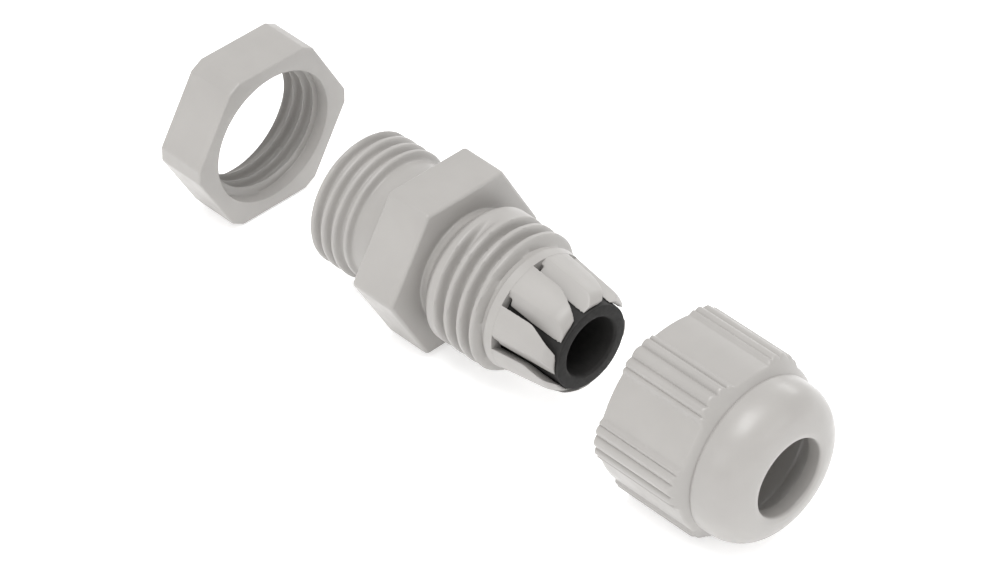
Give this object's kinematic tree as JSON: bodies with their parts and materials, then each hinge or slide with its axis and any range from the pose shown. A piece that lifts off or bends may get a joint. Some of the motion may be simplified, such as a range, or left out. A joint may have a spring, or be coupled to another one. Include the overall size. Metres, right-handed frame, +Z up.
{
  "type": "cable gland",
  "caption": "Nylon cable gland laid out in fitting order: hexagon lock nut, threaded body with slotted claw and rubber seal, domed cap nut.",
  "frame": {"origin": "on the gland's axis, in the plane of the hexagon face that seats on a panel", "axes": "+X along the gland's axis towards the dome nut, +Z up through a flat of the body's hexagon, +Y to the side"},
  "size_m": [0.0657, 0.0172, 0.0158],
  "materials": {
    "body_nylon": "satin moulded nylon, light warm grey",
    "lock_nut_nylon": "satin moulded nylon, light warm grey",
    "dome_nut_nylon": "moulded nylon, light warm grey, glossier on the dome",
    "seal_rubber": "matt black"
  },
  "bodies": {
    "gland_body": {"gland_body": "body_nylon", "seal": "seal_rubber"},
    "claw_1": {"claw_finger_1": "body_nylon"},
    "claw_2": {"claw_finger_2": "body_nylon"},
    "claw_3": {"claw_finger_3": "body_nylon"},
    "claw_4": {"claw_finger_4": "body_nylon"},
    "claw_5": {"claw_finger_5": "body_nylon"},
    "claw_6": {"claw_finger_6": "body_nylon"},
    "claw_7": {"claw_finger_7": "body_nylon"},
    "claw_8": {"claw_finger_8": "body_nylon"},
    "lock_nut_carriage": {"lock_nut_rim": "lock_nut_nylon"},
    "lock_nut": {"lock_nut": "lock_nut_nylon"},
    "dome_nut_carriage": {"dome_nut_rim": "dome_nut_nylon"},
    "dome_nut": {"dome_nut": "dome_nut_nylon"}
  },
  "joints": [
    {"name": "lock_nut_travel", "type": "slide", "parent": "gland_body", "child": "lock_nut_carriage", "axis": [1, 0, 0], "range_m": [0, 0.01895]},
    {"name": "lock_nut_turn", "type": "hinge", "parent": "lock_nut_carriage", "child": "lock_nut", "pos_m": [-0.0215, 0, 0], "axis": [1, 0, 0], "range_deg": [0, 5372]},
    {"name": "dome_nut_travel", "type": "slide", "parent": "gland_body", "child": "dome_nut_carriage", "axis": [-1, 0, 0], "range_m": [0, 0.0199]},
    {"name": "dome_nut_turn", "type": "hinge", "parent": "dome_nut_carriage", "child": "dome_nut", "pos_m": [0.0345, 0, 0], "axis": [-1, 0, 0], "range_deg": [0, 4777]},
    {"name": "claw_1_close", "type": "hinge", "parent": "gland_body", "child": "claw_1", "pos_m": [0.0134, 0.00154, 0.00434], "axis": [0, 0.9426, -0.3338], "range_deg": [0, 8], "stiffness_Nm_per_rad": 0.0001, "deforming": ["seal"]},
    {"name": "claw_2_close", "type": "hinge", "parent": "gland_body", "child": "claw_2", "pos_m": [0.0134, -0.00198, 0.00415], "axis": [0, 0.9026, 0.4305], "range_deg": [0, 8]},
    {"name": "claw_3_close", "type": "hinge", "parent": "gland_body", "child": "claw_3", "pos_m": [0.0134, -0.00434, 0.00154], "axis": [0, 0.3338, 0.9426], "range_deg": [0, 8]},
    {"name": "claw_4_close", "type": "hinge", "parent": "gland_body", "child": "claw_4", "pos_m": [0.0134, -0.00415, -0.00198], "axis": [0, -0.4305, 0.9026], "range_deg": [0, 8]},
    {"name": "claw_5_close", "type": "hinge", "parent": "gland_body", "child": "claw_5", "pos_m": [0.0134, -0.00154, -0.00434], "axis": [0, -0.9426, 0.3338], "range_deg": [0, 8]},
    {"name": "claw_6_close", "type": "hinge", "parent": "gland_body", "child": "claw_6", "pos_m": [0.0134, 0.00198, -0.00415], "axis": [0, -0.9026, -0.4305], "range_deg": [0, 8]},
    {"name": "claw_7_close", "type": "hinge", "parent": "gland_body", "child": "claw_7", "pos_m": [0.0134, 0.00434, -0.00154], "axis": [0, -0.3338, -0.9426], "range_deg": [0, 8]},
    {"name": "claw_8_close", "type": "hinge", "parent": "gland_body", "child": "claw_8", "pos_m": [0.0134, 0.00415, 0.00198], "axis": [0, 0.4305, -0.9026], "range_deg": [0, 8]}
  ],
  "couplings": [
    {"joint": "lock_nut_turn", "follows": "lock_nut_travel", "rad_per_m": 4947.4},
    {"joint": "dome_nut_turn", "follows": "dome_nut_travel", "rad_per_m": 4188.8},
    {"joint": "claw_2_close", "follows": "claw_1_close", "ratio": 1},
    {"joint": "claw_3_close", "follows": "claw_1_close", "ratio": 1},
    {"joint": "claw_4_close", "follows": "claw_1_close", "ratio": 1},
    {"joint": "claw_5_close", "follows": "claw_1_close", "ratio": 1},
    {"joint": "claw_6_close", "follows": "claw_1_close", "ratio": 1},
    {"joint": "claw_7_close", "follows": "claw_1_close", "ratio": 1},
    {"joint": "claw_8_close", "follows": "claw_1_close", "ratio": 1}
  ]
}
